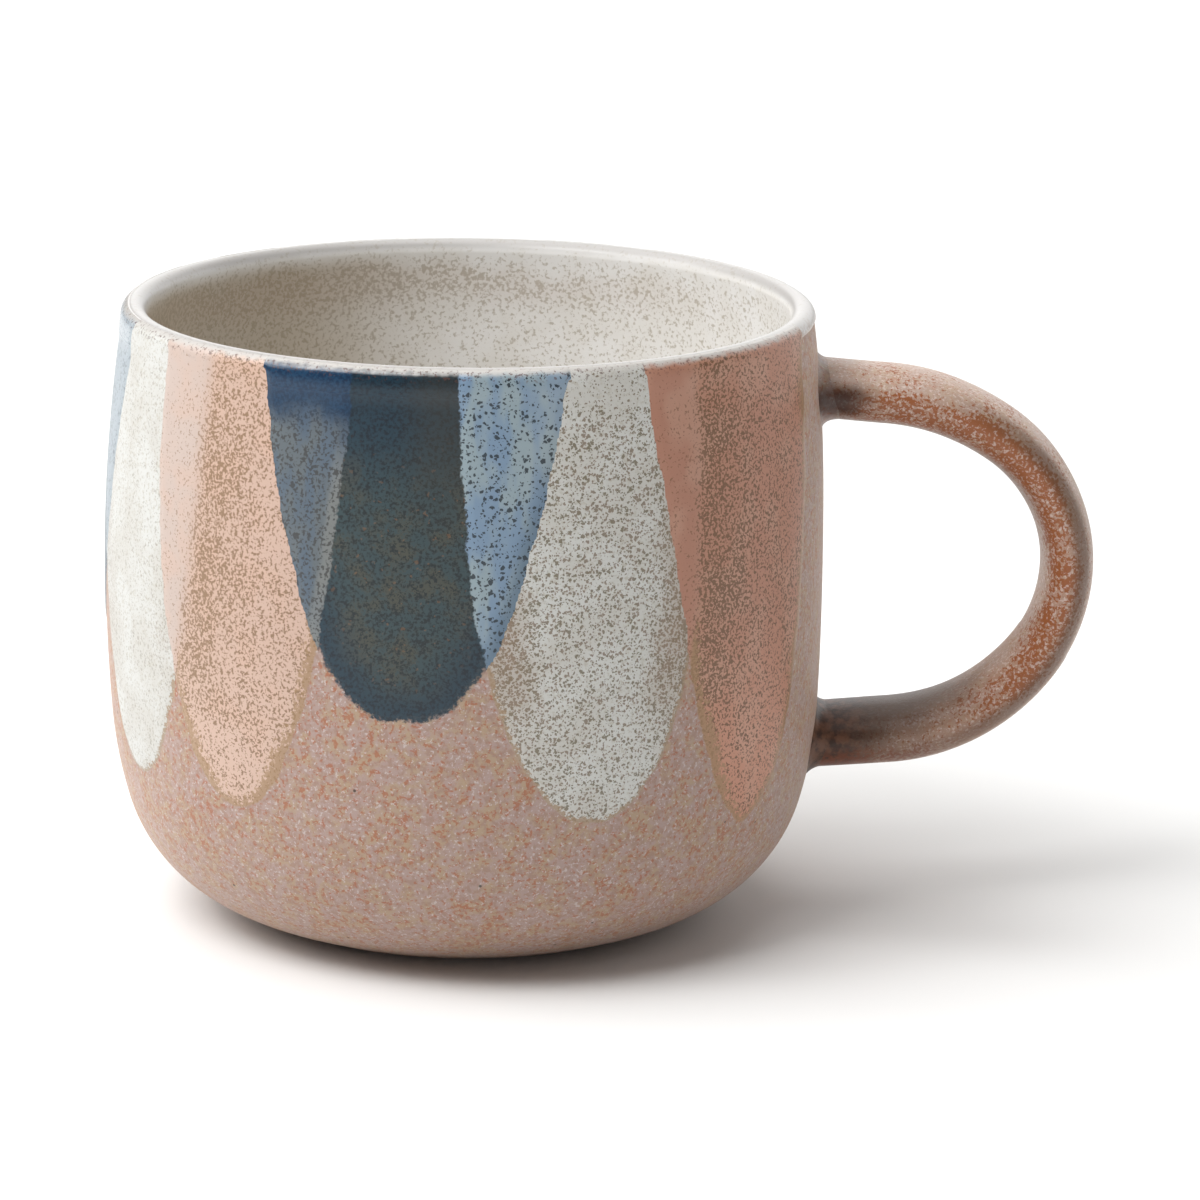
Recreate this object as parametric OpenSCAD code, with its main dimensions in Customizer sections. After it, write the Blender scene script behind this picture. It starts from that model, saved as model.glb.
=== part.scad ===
// Stoneware mug with overlapping glaze strokes: a round-bellied slip-cast
// vessel, a loop handle luted on with slip, a glazed inside and lip, and
// white, pink and blue glaze strokes that hang from the lip all the way round.
// Units are millimetres. The mug stands on z = 0 with its axis on z, the
// handle points to +X and the side facing a viewer is -Y.

/* [Vessel] */

// Overall height, from the foot to the top of the glazed lip
height = 78.8; // [76:0.2:84]
// Widest diameter of the clay wall
body_diameter = 92; // [88:1:98]
// Height of the widest point above the foot
belly_height = 44; // [43.5:0.5:45]
// Radius of the long curve of the wall
wall_curve_radius = 230; // [225:2.5:235]
// Radius of the curve where the wall begins to turn in
turn_radius = 55; // [52.5:0.5:57.5]
// Radius of the rounded heel
heel_radius = 20.5; // [19.5:0.5:20.5]
// Thickness of the clay wall
wall = 2.6; // [2.2:0.1:3.6]
// Radius of the curve between the wall and the floor inside
floor_curve_radius = 15.4; // [13:0.2:16]

/* [Foot] */

// Width of the flat ring the mug stands on
foot_ring_width = 3.6; // [2.5:0.1:6]
// Depth of the recess inside the foot ring
foot_recess = 1.2; // [0.6:0.1:1.6]

/* [Handle] */

// Thickness of the handle at its outermost point
handle_thickness = 6.6; // [5.6:0.1:7.4]
// Width of the handle across the grip
handle_width = 12.8; // [11:0.1:15]
// How much thicker the handle is at its ends than at its outermost point
handle_swell = 1.2; // [1:0.01:1.3]
// Height of the upper end of the handle where it meets the wall
handle_top = 67.8; // [66.5:0.1:69]
// Tilt of the upper arm below level
upper_arm_tilt = 4.3; // [3:0.1:6]
// Length of the straight upper arm
upper_arm_length = 8.8; // [8:0.1:12]
// Radius of the shoulder curve of the handle
shoulder_radius = 30; // [28:0.5:32]
// Radius of the knuckle curve of the handle
knuckle_radius = 20.3; // [19.5:0.1:21]
// Radius of the lower curve of the handle
lower_radius = 25; // [23:0.5:27]
// Thickness of the slip that joins the handle to the wall
slip_thickness = 0.4; // [0.3:0.05:0.8]
// How far the slip spreads round each end of the handle
slip_spread = 1.4; // [1:0.1:2]

/* [Glaze] */

// Thickness of the glaze inside and over the lip
liner_thickness = 0.25; // [0.2:0.05:0.4]
// Thickness of each glaze stroke
stroke_thickness = 0.2; // [0.15:0.05:0.4]
// Height of the lowest point of the white strokes
white_tip = 22.6; // [20:0.2:30]
// Height of the lowest point of the pink strokes, on average
pink_tip = 20.5; // [18:0.5:30]
// Height of the lowest point of the blue strokes
blue_tip = 35.6; // [30:0.2:45]
// Half angle a white or pink stroke covers at the lip
stroke_half_angle = 19.5; // [16:0.5:20]
// Half angle a blue stroke covers at the lip
blue_half_angle = 24.8; // [20:0.2:26]

/* [Hidden] */

$fn = 96;

// Sub-part to show; "all" shows the whole mug

body_radius = body_diameter / 2;
clay_height = height - liner_thickness;

// The outside is a chain of tangent arcs: wall, turn and heel. The wall and
// the turn end where they have turned in by these angles, whose sines and
// cosines are short decimals, so the centres of the arcs are round numbers.
wall_end = asin(0.07584);
turn_end = asin(0.28);
heel_end = 69;
underside_slope = 21;

// Centres of the arcs
wall_x = body_radius - wall_curve_radius;
turn_x = wall_x + (wall_curve_radius - turn_radius) * cos(wall_end);
turn_z = belly_height - (wall_curve_radius - turn_radius) * sin(wall_end);
heel_x = turn_x + (turn_radius - heel_radius) * cos(turn_end);
heel_z = turn_z - (turn_radius - heel_radius) * sin(turn_end);
heel_height = heel_z - heel_radius * sin(heel_end);
foot_radius = heel_x + heel_radius * cos(heel_end) - heel_height / tan(underside_slope);

// Inside, the wall and the turn run parallel to the outside, and a tighter
// curve round this centre leads to the flat floor
floor_curve_offset = turn_radius - wall - floor_curve_radius;
floor_curve_x = turn_x + floor_curve_offset * cos(turn_end);
floor_curve_z = turn_z - floor_curve_offset * sin(turn_end);

// The lip is a half round whose ends run into both faces of the wall
lip_radius = wall / 2;
lip_angle = asin((clay_height - lip_radius - belly_height)
    / (wall_curve_radius - lip_radius));

// The centre line of the handle turns down by these angles in turn
shoulder_turn = 31.5;
knuckle_turn = 91.3;
lower_turn = 48.8;
handle_start = [body_radius - 2, handle_top + 0.1];
handle_inset = 12;
oval_points = 28;

// A point on the radial line through the lip, measured from the wall
function lip_line(d) = [
    wall_x + (wall_curve_radius + d) * cos(lip_angle),
    belly_height + (wall_curve_radius + d) * sin(lip_angle)
];

// Height where the wall curve hands over to the turn, for an offset g
function turn_top(g) = turn_z - (turn_radius + g) * sin(wall_end);

// Height where the turn ends, for an offset g
function turn_bottom(g) = turn_z - (turn_radius + g) * sin(turn_end);

// Outer radius of the clay at height z
function body_r(z) = z > turn_top(0)
    ? wall_x + sqrt(pow(wall_curve_radius, 2) - pow(z - belly_height, 2))
    : turn_x + sqrt(pow(turn_radius, 2) - pow(z - turn_z, 2));

// Share of its full half angle that a stroke keeps at height z
function stroke_share(z, top, tip, fullness) =
    sqrt(max(0, 1 - pow((top - z) / (top - tip), fullness)));

// Everything between the axis and an arc, from z_lo to z_hi
module arc_fill(cx, cz, r, z_lo, z_hi) {
    intersection() {
        translate([cx, cz])
            circle(r, $fn = 360);
        translate([max(cx, 0), z_lo])
            square([r, z_hi - z_lo]);
    }
    if (cx > 0)
        translate([0, z_lo])
            square([cx, z_hi - z_lo]);
}

// The wall filled to the axis, moved outwards by g
module wall_fill(g) {
    arc_fill(wall_x, belly_height, wall_curve_radius + g, turn_top(g), height + 10);
    arc_fill(turn_x, turn_z, turn_radius + g, turn_bottom(g), turn_top(g));
}

// The heel and the sloped underside down to the foot
module heel_fill() {
    arc_fill(heel_x, heel_z, heel_radius, heel_height, turn_bottom(0));
    polygon([
        [0, 0],
        [foot_radius, 0],
        [heel_x + heel_radius * cos(heel_end), heel_height],
        [0, heel_height]
    ]);
}

// The hollow inside, g inside the outer face. Glaze moves its floor up too.
module hollow_fill(g) {
    r = floor_curve_radius + wall - g;
    arc_fill(wall_x, belly_height, wall_curve_radius - g, turn_top(-g), height + 10);
    arc_fill(turn_x, turn_z, turn_radius - g, turn_bottom(-g), turn_top(-g));
    arc_fill(floor_curve_x, floor_curve_z, r, floor_curve_z - r, turn_bottom(-g));
}

// Everything above the radial line through the lip
module above_lip() {
    polygon([
        lip_line(-30),
        lip_line(10),
        lip_line(10) + [0, 30],
        lip_line(-30) + [0, 30]
    ]);
}

// Clay section, right of the axis
module clay_section() {
    difference() {
        union() {
            wall_fill(0);
            heel_fill();
        }
        hollow_fill(wall);
        above_lip();
        square([foot_radius - foot_ring_width, foot_recess]);
    }
    intersection() {
        translate(lip_line(-lip_radius))
            circle(lip_radius);
        above_lip();
    }
}

// Section of the glaze on the inside and over the lip
module liner_section() {
    difference() {
        hollow_fill(wall);
        hollow_fill(wall + liner_thickness);
        above_lip();
    }
    intersection() {
        translate(lip_line(-lip_radius))
            difference() {
                circle(lip_radius + liner_thickness);
                circle(lip_radius);
            }
        above_lip();
    }
}

// Solid body, moved outwards by g, that ends of the handle are cut to
module body_solid(g) {
    rotate_extrude()
        difference() {
            wall_fill(g);
            above_lip();
        }
}

// Point reached from p, heading h degrees above +X, after a bend downwards
function bend_point(p, h, radius, turn) = p + radius
    * [sin(h) - sin(h - turn), cos(h - turn) - cos(h)];

// Stations [point, heading] along a bend, leaving out its first point
function bend(p, h, radius, turn, steps) = [
    for (i = [1 : steps])
        [bend_point(p, h, radius, turn * i / steps), h - turn * i / steps]
];

// Stations along the centre line, from inside the wall back inside the wall
function handle_stations() =
    let (
        h0 = -upper_arm_tilt,
        p0 = handle_start,
        p1 = p0 + upper_arm_length * [cos(h0), sin(h0)],
        p2 = bend_point(p1, h0, shoulder_radius, shoulder_turn),
        h2 = h0 - shoulder_turn,
        p3 = bend_point(p2, h2, knuckle_radius, knuckle_turn),
        h3 = h2 - knuckle_turn,
        p4 = bend_point(p3, h3, lower_radius, lower_turn),
        h4 = h3 - lower_turn
    )
    concat(
        [[p0, h0], [p1, h0]],
        bend(p1, h0, shoulder_radius, shoulder_turn, 10),
        bend(p2, h2, knuckle_radius, knuckle_turn, 22),
        bend(p3, h3, lower_radius, lower_turn, 13),
        [[p4 + handle_inset * [cos(h4), sin(h4)], h4]]
    );

// Ring of points round one station, an oval that is thickest on level runs
function handle_ring(station) =
    let (
        p = station[0],
        h = station[1],
        thick = handle_thickness * (1 + (handle_swell - 1) * pow(cos(h), 2))
    )
    [
        for (j = [0 : oval_points - 1])
            let (
                a = 360 * j / oval_points,
                n = thick / 2 * cos(a)
            )
            [p[0] - n * sin(h), handle_width / 2 * sin(a), p[1] + n * cos(h)]
    ];

// The handle from inside the wall, round the loop and back inside the wall
module handle_loop() {
    stations = handle_stations();
    n = oval_points;
    last = len(stations) - 1;
    sides = [
        for (i = [0 : last - 1], j = [0 : n - 1], half = [0, 1])
            let (
                a = i * n + j,
                b = i * n + (j + 1) % n
            )
            half == 0 ? [a, b, b + n] : [a, b + n, a + n]
    ];
    ends = [[for (j = [n - 1 : -1 : 0]) j], [for (j = [0 : n - 1]) last * n + j]];
    polyhedron(
        points = [for (s = stations) each handle_ring(s)],
        faces = concat(sides, ends)
    );
}

// The handle cut to the face of the slip under its two ends
module trimmed_handle() {
    difference() {
        handle_loop();
        body_solid(slip_thickness);
    }
}

// Slip under one end of the handle, flaring onto the wall round it
module slip_joint(z, tilt) {
    reach = 2.4;
    depth = 3;
    flare = slip_spread / reach;
    tip_radius = handle_width / 2 + 0.1;
    difference() {
        translate([body_r(z), 0, z])
            rotate([0, 90 + tilt, 0])
                translate([0, 0, -depth])
                    scale([0.66, 1, 1])
                        cylinder(h = depth + reach,
                            r1 = tip_radius + flare * (depth + reach), r2 = tip_radius);
        body_solid(0);
        trimmed_handle();
    }
}

// Prism that cuts the outline of a stroke out of a shell, facing angle at
module stroke_outline(at, half_angle, tip, fullness) {
    top = height;
    steps = 40;
    heights = [for (i = [0 : steps]) tip + (top - tip) * pow(i / steps, 2)];
    right = [for (z = heights)
        [body_r(z) * sin(half_angle * stroke_share(z, top, tip, fullness)), z]];
    left = [for (i = [steps : -1 : 1]) [-right[i][0], right[i][1]]];
    rotate([0, 0, at])
        rotate([90, 0, 0])
            linear_extrude(height = body_diameter)
                polygon(concat(right, left));
}

// Thin shell on the outside of the wall, facing angle at
module stroke_shell(at, half_angle) {
    span = half_angle + 4;
    rotate([0, 0, at - 90 - span])
        rotate_extrude(angle = 2 * span)
            difference() {
                wall_fill(stroke_thickness);
                wall_fill(0);
                above_lip();
            }
}

// Angle each stroke faces, from -Y towards the handle
function white_at(k) = 19 - 84 * (k - 1);
function pink_at(k) = 50 - 87.5 * (k - 1);
function blue_at(k) = -8.3 - 87 * (k - 1);

// Odd and even strokes differ a little, as poured strokes do
function alternate(k) = k % 2 == 0 ? 1 : -1;

module white_outline(k) {
    stroke_outline(white_at(k), stroke_half_angle, white_tip, 2.1 - 0.7 * alternate(k));
}

module pink_outline(k) {
    stroke_outline(pink_at(k), stroke_half_angle, pink_tip + 2 * alternate(k),
        1.8 + 0.2 * alternate(k));
}

module blue_outline(k) {
    stroke_outline(blue_at(k), blue_half_angle, blue_tip, 1.25);
}

// White goes on first, so the pink and blue strokes cut into it
module white_stroke(k) {
    color("ivory")
        difference() {
            intersection() {
                stroke_shell(white_at(k), stroke_half_angle);
                white_outline(k);
            }
            pink_outline(k);
            if (k < 4)
                blue_outline(k);
        }
}

// Pink goes on second, so only the blue stroke beside it cuts into it
module pink_stroke(k) {
    color("lightpink")
        difference() {
            intersection() {
                stroke_shell(pink_at(k), stroke_half_angle);
                pink_outline(k);
            }
            if (k > 1)
                blue_outline(k - 1);
        }
}

// Blue goes on last and keeps its whole outline
module blue_stroke(k) {
    color("steelblue")
        intersection() {
            stroke_shell(blue_at(k), blue_half_angle);
            blue_outline(k);
        }
}

module clay_body() {
    color("rosybrown")
        rotate_extrude()
            clay_section();
}

module handle() {
    color("rosybrown")
        trimmed_handle();
}

module upper_slip_joint() {
    color("tan")
        slip_joint(handle_top, upper_arm_tilt);
}

module lower_slip_joint() {
    color("tan")
        slip_joint(22.4, -4.1);
}

module liner_glaze() {
    color("white")
        rotate_extrude()
            liner_section();
}

module white_stroke_1() {
    white_stroke(1);
}

module white_stroke_2() {
    white_stroke(2);
}

module white_stroke_3() {
    white_stroke(3);
}

module white_stroke_4() {
    white_stroke(4);
}

module pink_stroke_1() {
    pink_stroke(1);
}

module pink_stroke_2() {
    pink_stroke(2);
}

module pink_stroke_3() {
    pink_stroke(3);
}

module pink_stroke_4() {
    pink_stroke(4);
}

module blue_stroke_1() {
    blue_stroke(1);
}

module blue_stroke_2() {
    blue_stroke(2);
}

module blue_stroke_3() {
    blue_stroke(3);
}

clay_body();
handle();
upper_slip_joint();
lower_slip_joint();
liner_glaze();
white_stroke_1();
white_stroke_2();
white_stroke_3();
white_stroke_4();
pink_stroke_1();
pink_stroke_2();
pink_stroke_3();
pink_stroke_4();
blue_stroke_1();
blue_stroke_2();
blue_stroke_3();
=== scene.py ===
"""Looks of the stoneware mug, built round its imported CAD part.

Lengths are in millimetres until a mesh is made. Angles round the mug are in
degrees, from the side that faces the camera (-Y) towards the handle (+X).
"""
import math
from collections import namedtuple

import bpy
import numpy as np
from mathutils import Matrix, Vector


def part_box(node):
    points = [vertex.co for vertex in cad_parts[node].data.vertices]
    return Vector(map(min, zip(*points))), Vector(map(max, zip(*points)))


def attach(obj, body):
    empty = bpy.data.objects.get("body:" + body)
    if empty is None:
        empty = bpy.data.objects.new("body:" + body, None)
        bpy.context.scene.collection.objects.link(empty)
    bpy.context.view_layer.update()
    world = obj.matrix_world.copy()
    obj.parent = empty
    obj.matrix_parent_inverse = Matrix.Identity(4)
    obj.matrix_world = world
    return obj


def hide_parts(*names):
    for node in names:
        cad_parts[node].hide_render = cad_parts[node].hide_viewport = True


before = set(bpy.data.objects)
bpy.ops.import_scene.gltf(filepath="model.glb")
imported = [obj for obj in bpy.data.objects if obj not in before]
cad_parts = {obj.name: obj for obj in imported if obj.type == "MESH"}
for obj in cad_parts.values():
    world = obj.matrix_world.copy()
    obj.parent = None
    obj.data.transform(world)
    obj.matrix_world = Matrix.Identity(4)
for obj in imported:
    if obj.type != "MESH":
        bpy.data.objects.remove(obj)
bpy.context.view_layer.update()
scene = bpy.context.scene
MM = 0.001

# ---------------- camera
CAMERA_DISTANCE = 700.0
CAMERA_ELEVATION = 14.13
CAMERA_ROLL = 0.45
CAMERA_AIM = Vector((0, 0, 41.0))
CAMERA_LENS = 164.4
SHIFT_X, SHIFT_Y = 0.1114, -0.0083  # the mug with its handle fills the middle of the frame

camera = bpy.data.objects.new("camera", bpy.data.cameras.new("camera"))
scene.collection.objects.link(camera)
scene.camera = camera
tilt = math.radians(CAMERA_ELEVATION)
back = Vector((0, -math.cos(tilt), math.sin(tilt)))
turn = back.to_track_quat("Z", "Y").to_matrix().to_4x4()
roll = Matrix.Rotation(math.radians(CAMERA_ROLL), 4, "Z")
camera.matrix_world = (
    Matrix.Translation((CAMERA_AIM + back * CAMERA_DISTANCE) * MM) @ turn @ roll
)
camera.data.lens = CAMERA_LENS
camera.data.shift_x, camera.data.shift_y = SHIFT_X, SHIFT_Y
camera.data.clip_start, camera.data.clip_end = 0.05, 20

# ---------------- sizes
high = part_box("clay_body")[1]
BODY_R = high.x / MM
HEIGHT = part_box("liner_glaze")[1].z / MM
LINER = HEIGHT - high.z / MM
WALL = 2.6
WALL_R, TURN_R, HEEL_R, FLOOR_R = 230.0, 55.0, 20.5, 15.4
BELLY_Z = 44.0
WALL_END, TURN_END, HEEL_END = 4.35, 16.26, 69.0
UNDER_SLOPE = 21.0
FOOT_RING, FOOT_RECESS = 3.6, 1.2
RECESS_DRAFT, RECESS_FLAT, FOOT_ROUND = 0.3, 6.0, 0.5
FLAT_AT, FLAT_SPREAD = 90.0, 34.0  # the wall is pressed flatter behind the handle
FLAT_Z, FLAT_RISE, FLAT_DEPTH = 45.0, 22.0, 0.62
WANDER_Z, WANDER_R = 12.0, 20.0  # below and inside these the wall's wander dies away

rad = math.radians


def arc_centre(centre, r_from, r_to, angle):
    """Centre of an arc that takes over from another at this angle."""
    step = r_from - r_to
    return centre[0] + step * math.cos(rad(angle)), centre[1] - step * math.sin(rad(angle))


WALL_C = (BODY_R - WALL_R, BELLY_Z)
TURN_C = arc_centre(WALL_C, WALL_R, TURN_R, WALL_END)
HEEL_C = arc_centre(TURN_C, TURN_R, HEEL_R, TURN_END)
FLOOR_C = arc_centre(TURN_C, TURN_R - WALL, FLOOR_R, TURN_END)
LIP_R = WALL / 2
LIP_ANGLE = math.asin((HEIGHT - LINER - LIP_R - BELLY_Z) / (WALL_R - LIP_R))
LIP_C = (
    WALL_C[0] + (WALL_R - LIP_R) * math.cos(LIP_ANGLE),
    WALL_C[1] + (WALL_R - LIP_R) * math.sin(LIP_ANGLE),
)


def arc(centre, radius, start, end, step):
    """Points along an arc, angles in degrees downwards from level."""
    n = max(2, int(abs(rad(end - start)) * radius / step) + 1)
    a = np.radians(np.linspace(start, end, n))
    return np.stack([centre[0] + radius * np.cos(a), centre[1] - radius * np.sin(a)], 1)


def wall_radius(z):
    """Outer radius of the clay wall at height z, above the heel."""
    z = np.asarray(z, float)
    on_wall = WALL_C[0] + np.sqrt(np.maximum(WALL_R**2 - (z - WALL_C[1]) ** 2, 0))
    on_turn = TURN_C[0] + np.sqrt(np.maximum(TURN_R**2 - (z - TURN_C[1]) ** 2, 0))
    on_heel = HEEL_C[0] + np.sqrt(np.maximum(HEEL_R**2 - (z - HEEL_C[1]) ** 2, 0))
    wall_z = TURN_C[1] - TURN_R * math.sin(rad(WALL_END))
    turn_z = TURN_C[1] - TURN_R * math.sin(rad(TURN_END))
    return np.where(z > wall_z, on_wall, np.where(z > turn_z, on_turn, on_heel))


def wave(seed, x, lengths, size):
    """Smooth repeatable wobble along x, made of waves of about these lengths."""
    rng = np.random.default_rng(seed)
    out = np.zeros_like(np.asarray(x, float))
    for length in lengths:
        out = out + np.sin(2 * math.pi * x / length + rng.uniform(0, 2 * math.pi))
    return out * size / math.sqrt(len(lengths))


def hand(angle, z):
    """How far the wall wanders in or out, as a cast and sponged wall does."""
    a = np.radians(angle)
    grow = np.clip(z / WANDER_Z, 0, 1)
    away = ((angle - FLAT_AT + 180) % 360 - 180) / FLAT_SPREAD
    flat = FLAT_DEPTH * np.exp(-(away**2)) * np.exp(-(((z - FLAT_Z) / FLAT_RISE) ** 2))
    return -flat + grow * (
        0.10 * np.sin(2 * a + 0.7) * (z / HEIGHT)
        + 0.05 * np.sin(3 * a + z / 19.0)
        + 0.035 * np.sin(5 * a - z / 11.0 + 1.1)
    )


def placed(angle, radius, z):
    """Points at these angles round the mug, with the wall's wander."""
    angle, radius, z = np.broadcast_arrays(angle, radius, z)
    r = radius + hand(angle, z) * np.clip(radius / WANDER_R, 0, 1)
    a = np.radians(angle)
    return np.stack([r * np.sin(a), -r * np.cos(a), z], -1)


# ---------------- meshes
def make_mesh(name, points, faces, fields=None):
    """A smooth-shaded mesh from points in mm and rows of 3 or 4 corner numbers."""
    me = bpy.data.meshes.new(name)
    points = np.asarray(points, np.float64).reshape(-1, 3) * MM
    me.vertices.add(len(points))
    me.vertices.foreach_set("co", points.ravel())
    sizes = np.concatenate([np.full(len(f), f.shape[1], np.int32) for f in faces])
    corners = np.concatenate([f.ravel() for f in faces]).astype(np.int32)
    me.loops.add(len(corners))
    me.loops.foreach_set("vertex_index", corners)
    me.polygons.add(len(sizes))
    starts = np.concatenate([[0], np.cumsum(sizes)[:-1]]).astype(np.int32)
    me.polygons.foreach_set("loop_start", starts)
    me.polygons.foreach_set("loop_total", sizes)
    me.polygons.foreach_set("use_smooth", np.ones(len(sizes), bool))
    for key, values in (fields or {}).items():
        at = me.attributes.new(key, "FLOAT", "POINT")
        at.data.foreach_set("value", np.asarray(values, np.float32).ravel())
    me.update(calc_edges=True)
    me.validate()
    o = bpy.data.objects.new(name, me)
    scene.collection.objects.link(o)
    return o


def grid_faces(rows, cols, wrap=False):
    """Quads between neighbours of a rows by cols grid of points."""
    i = np.arange(rows - 1)[:, None]
    j = np.arange(cols if wrap else cols - 1)[None, :]
    k = (j + 1) % cols
    a, b = i * cols + j, i * cols + k
    return np.stack([a, b, b + cols, a + cols], -1).reshape(-1, 4)


def tube_faces(rows, cols):
    """Quads round a tube and a fan over each end, whose two centres are its last points."""
    j = np.arange(cols)
    k = (j + 1) % cols
    centre, last_row = rows * cols, (rows - 1) * cols
    fan_a = np.stack([np.full(cols, centre), k, j], 1)
    fan_b = np.stack([np.full(cols, centre + 1), last_row + j, last_row + k], 1)
    return [grid_faces(rows, cols, wrap=True), fan_a, fan_b]


AROUND = 720  # steps round the mug


def revolve(name, profile):
    """Closed solid of revolution. The profile runs from the axis to the axis."""
    ring = profile[1:-1]
    angles = np.arange(AROUND) * 360.0 / AROUND
    points = placed(angles[None, :], ring[:, :1], ring[:, 1:])
    ends = np.array([[0, 0, profile[0, 1]], [0, 0, profile[-1, 1]]])
    points = np.concatenate([points.reshape(-1, 3), ends])
    return make_mesh(name, points, tube_faces(len(ring), AROUND))


def inner_profile(inset, step):
    """Inside of the cup, from the axis up to the lip, inset from the outer face."""
    r = FLOOR_R + WALL - inset
    gap = 0.2  # between the flat floor's last point and the arc's first
    floor = np.array([[x, FLOOR_C[1] - r] for x in np.arange(0, FLOOR_C[0] - gap, 1.0)])
    lip_down = -math.degrees(LIP_ANGLE)
    return np.concatenate([
        floor,
        arc(FLOOR_C, r, 90, TURN_END, step),
        arc(TURN_C, TURN_R - inset, TURN_END, WALL_END, step)[1:],
        arc(WALL_C, WALL_R - inset, WALL_END, lip_down, step)[1:],
    ])


def outer_profile(step):
    """Outside of the clay, from the lip down over the heel to the foot ring."""
    lip_down = -math.degrees(LIP_ANGLE)
    return np.concatenate([
        arc(WALL_C, WALL_R, lip_down, WALL_END, step),
        arc(TURN_C, TURN_R, WALL_END, TURN_END, step)[1:],
        arc(HEEL_C, HEEL_R, TURN_END, HEEL_END, step)[1:],
    ])


def lip_arc(radius, step=0.12):
    """The rounded lip, from its inner side over the top to its outer side."""
    tilt_deg = math.degrees(LIP_ANGLE)
    return arc(LIP_C, radius, -(180 + tilt_deg), -tilt_deg, step)


def rounded(points, radius):
    """A path of corners with each inner corner replaced by a small curve."""
    out = [points[0]]
    for before, corner, after in zip(points, points[1:], points[2:]):
        a, b, c = (np.array(p, float) for p in (before, corner, after))
        ra = min(radius, np.linalg.norm(a - b) / 2)
        rc = min(radius, np.linalg.norm(c - b) / 2)
        p = b + (a - b) / np.linalg.norm(a - b) * ra
        q = b + (c - b) / np.linalg.norm(c - b) * rc
        for t in np.linspace(0, 1, 5):
            out.append((1 - t) ** 2 * p + 2 * t * (1 - t) * b + t * t * q)
    out.append(points[-1])
    return np.array(out, float)


def build_body():
    """Clay vessel: inside, lip, outside, heel, foot ring and recess."""
    outside = outer_profile(0.4)
    heel = outside[-1]
    foot_r = heel[0] - heel[1] / math.tan(rad(UNDER_SLOPE))
    ring_r = foot_r - FOOT_RING
    under = rounded([
        heel, (foot_r, 0.0), (ring_r, 0.0), (ring_r - RECESS_DRAFT, FOOT_RECESS),
        (ring_r - RECESS_FLAT, FOOT_RECESS), (0.0, FOOT_RECESS)], FOOT_ROUND)
    profile = np.concatenate([
        inner_profile(WALL, 0.8)[:-1], lip_arc(LIP_R), outside[1:-1], under
    ])
    return revolve("mug_body", profile)


def build_liner():
    """Glaze inside and over the lip, a thin closed shell on the clay."""
    seat, overhang, tuck_round = 0.05, 0.5, 0.3
    tuck = (WALL_C[0] + WALL_R * math.cos(LIP_ANGLE) + 0.02,
            WALL_C[1] + WALL_R * math.sin(LIP_ANGLE) - overhang)
    shown = np.concatenate([inner_profile(WALL + LINER, 0.4)[:-1], lip_arc(LIP_R + LINER)])
    hidden = np.concatenate([inner_profile(WALL - seat, 1.0)[:-1], lip_arc(LIP_R - seat, 0.3)])
    edge = rounded([shown[-1], tuck, hidden[-1]], tuck_round)
    profile = np.concatenate([shown[:-1], edge[:-1], hidden[::-1]])
    return revolve("mug_inside_glaze", profile)


# ---------------- strokes
GRID = 0.32
STROKE_FILM = 0.13
LIP_SHARE = 62.0  # how far up the rounded lip the strokes reach, in degrees
LIP_BLEND = 3.5  # height over which a stroke comes down from the liner's level to the clay's
EDGE_WAVES, EDGE_WANDER = (31.0, 17.0, 9.0, 4.7), 0.16
OUTLINE_POINTS, OVERSHOOT = 110, 3.0  # the outline runs on this far above the lip
SIDE_MARGIN, TIP_MARGIN = 1.2, 0.8  # grid past the outline, in degrees and in mm
FAR_OUTSIDE = -20.0  # stands for any place well outside a stroke
FILM_START, FILM_FULL = -0.15, 1.1  # depths inside the edge where the film starts and is full
SKIRT, SINK, BURIED = 0.9, 0.03, 0.12  # past its edge a stroke's skin runs on just under the clay
SIDE_BY_SIDE = 50.0  # strokes whose middles are nearer than this, in degrees, can overlap

# The angle a stroke faces, how far its tip leans, half its angle at the lip and the height of
# its tip; the taper, fullness and roundness of its outline; how strong its colour is.
Stroke = namedtuple("Stroke", "kind faces lean half tip taper fullness roundness depth seed")
STROKES = {
    "white_stroke_1": Stroke("white", 18.4, 2.0, 19.8, 22.7, 0.01, 2.8, 2.05, 1.0, 11),
    "white_stroke_2": Stroke("white", -64.3, 0.0, 19.8, 22.3, 0.05, 2.2, 2.1, 0.25, 12),
    "white_stroke_3": Stroke("white", -149.0, -1.5, 19.5, 22.6, 0.05, 2.6, 2.0, 0.6, 13),
    "white_stroke_4": Stroke("white", 127.0, 1.0, 19.5, 22.9, 0.1, 2.2, 2.0, 0.8, 14),
    "pink_stroke_1": Stroke("pink", 49.4, 1.8, 21.0, 18.6, 0.5, 7.5, 1.55, 1.0, 21),
    "pink_stroke_2": Stroke("pink", -37.5, -0.8, 19.1, 22.4, 0.0, 1.8, 2.25, 0.35, 22),
    "pink_stroke_3": Stroke("pink", -125.0, 1.0, 19.5, 18.8, 0.4, 5.0, 1.7, 0.7, 23),
    "pink_stroke_4": Stroke("pink", -212.5, -1.0, 19.5, 22.5, 0.1, 2.2, 2.1, 0.5, 24),
    "blue_stroke_1": Stroke("blue", -8.9, -0.5, 25.0, 35.8, 0.08, 1.05, 2.8, 1.0, 31),
    "blue_stroke_2": Stroke("blue", -95.3, 0.5, 24.8, 35.6, 0.08, 1.1, 2.7, 0.25, 32),
    "blue_stroke_3": Stroke("blue", -182.3, -0.5, 24.8, 35.8, 0.08, 1.1, 2.7, 0.9, 33),
}
LAYER = {"white": 0, "pink": 1, "blue": 2}


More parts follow.
